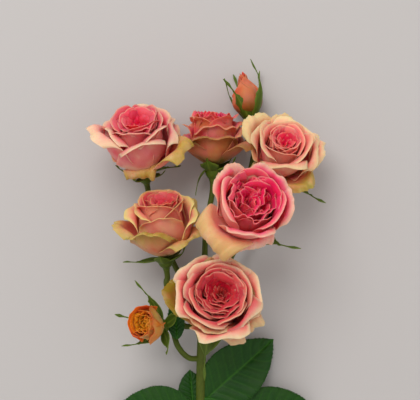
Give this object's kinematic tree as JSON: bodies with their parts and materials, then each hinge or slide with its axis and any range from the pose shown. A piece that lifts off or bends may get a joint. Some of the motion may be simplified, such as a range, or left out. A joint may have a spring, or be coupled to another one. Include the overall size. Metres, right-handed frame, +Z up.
{
  "type": "cut spray rose",
  "caption": "Cut spray rose lying on its back: a green leafy stem whose side stems carry open pink and peach blooms and small buds.",
  "frame": {"origin": "on the surface the spray lies on, below the middle of its bounding box", "axes": "+Y along the stem from its cut end towards the flowers, +Z up from the surface, +X to the right when looking down with the flowers at the top"},
  "size_m": [0.1542, 0.3488, 0.0736],
  "materials": {
    "rose_petals": null,
    "peach_petals": null,
    "bud_petals": null,
    "stem": "smooth green living wood, satin",
    "leaf": null,
    "calyx": null
  },
  "bodies": {
    "root": {"centre_right_bloom_calyx": "calyx", "centre_right_bloom_heart": "rose_petals", "centre_right_bloom_outer_petal_1": "rose_petals", "centre_right_bloom_outer_petal_2": "rose_petals", "centre_right_bloom_outer_petal_3": "rose_petals", "centre_right_bloom_outer_petal_4": "rose_petals", "centre_right_bloom_outer_petal_5": "rose_petals", "centre_right_side_stem": "stem", "left_leaf": "leaf", "lower_bloom_calyx": "calyx", "lower_bloom_heart": "peach_petals", "lower_bloom_outer_petal_1": "peach_petals", "lower_bloom_outer_petal_2": "peach_petals", "lower_bloom_outer_petal_3": "peach_petals", "lower_bloom_outer_petal_4": "peach_petals", "lower_bloom_outer_petal_5": "peach_petals", "lower_bloom_side_stem": "stem", "lower_bud_bract": "leaf", "lower_bud_calyx": "calyx", "lower_bud_petals": "bud_petals", "lower_bud_side_stem": "stem", "main_stem": "stem", "middle_left_bloom_calyx": "calyx", "middle_left_bloom_heart": "peach_petals", "middle_left_bloom_outer_petal_1": "peach_petals", "middle_left_bloom_outer_petal_2": "peach_petals", "middle_left_bloom_outer_petal_3": "peach_petals", "middle_left_bloom_outer_petal_4": "peach_petals", "middle_left_bloom_outer_petal_5": "peach_petals", "middle_left_side_stem": "stem", "right_leaf": "leaf", "top_bud_calyx": "calyx", "top_bud_petals": "bud_petals", "top_bud_side_stem": "stem", "top_left_bloom_calyx": "calyx", "top_left_bloom_heart": "peach_petals", "top_left_bloom_outer_petal_1": "peach_petals", "top_left_bloom_outer_petal_2": "peach_petals", "top_left_bloom_outer_petal_3": "peach_petals", "top_left_bloom_outer_petal_4": "peach_petals", "top_left_bloom_outer_petal_5": "peach_petals", "top_left_side_stem": "stem", "top_middle_bloom_calyx": "calyx", "top_middle_bloom_heart": "rose_petals", "top_middle_bloom_outer_petal_1": "rose_petals", "top_middle_bloom_outer_petal_2": "rose_petals", "top_middle_bloom_outer_petal_3": "rose_petals", "top_middle_bloom_outer_petal_4": "rose_petals", "top_middle_bloom_outer_petal_5": "rose_petals", "top_middle_side_stem": "stem", "top_right_bloom_calyx": "calyx", "top_right_bloom_heart": "peach_petals", "top_right_bloom_outer_petal_1": "peach_petals", "top_right_bloom_outer_petal_2": "peach_petals", "top_right_bloom_outer_petal_3": "peach_petals", "top_right_bloom_outer_petal_4": "peach_petals", "top_right_bloom_outer_petal_5": "peach_petals", "top_right_side_stem": "stem"}
  },
  "joints": []
}
